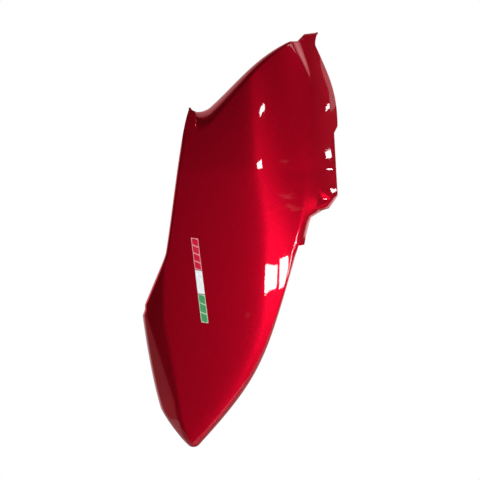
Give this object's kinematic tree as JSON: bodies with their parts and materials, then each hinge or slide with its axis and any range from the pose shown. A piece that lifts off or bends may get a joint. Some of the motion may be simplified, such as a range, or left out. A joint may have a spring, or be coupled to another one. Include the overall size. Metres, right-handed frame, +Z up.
{
  "type": "motorcycle side panel",
  "caption": "Thin moulded body side panel with a rolled upper edge, a plain flange and three pegs on its back that push into grommets.",
  "frame": {"origin": "centre of the upper peg's root, on the collar that stops its grommet", "axes": "+X to the right of the painted face, +Y from the painted face to the back, +Z up, from the lower tip to the horn"},
  "size_m": [0.2825, 0.0998, 0.6],
  "materials": {
    "red_paint": "moulded ABS with a deep metallic red paint under clear coat",
    "vinyl_red": "printed vinyl film",
    "vinyl_white": "printed vinyl film",
    "vinyl_green": "printed vinyl film"
  },
  "bodies": {
    "root": {"panel": "red_paint", "sticker_red": "vinyl_red", "sticker_white": "vinyl_white", "sticker_green": "vinyl_green"}
  },
  "joints": []
}
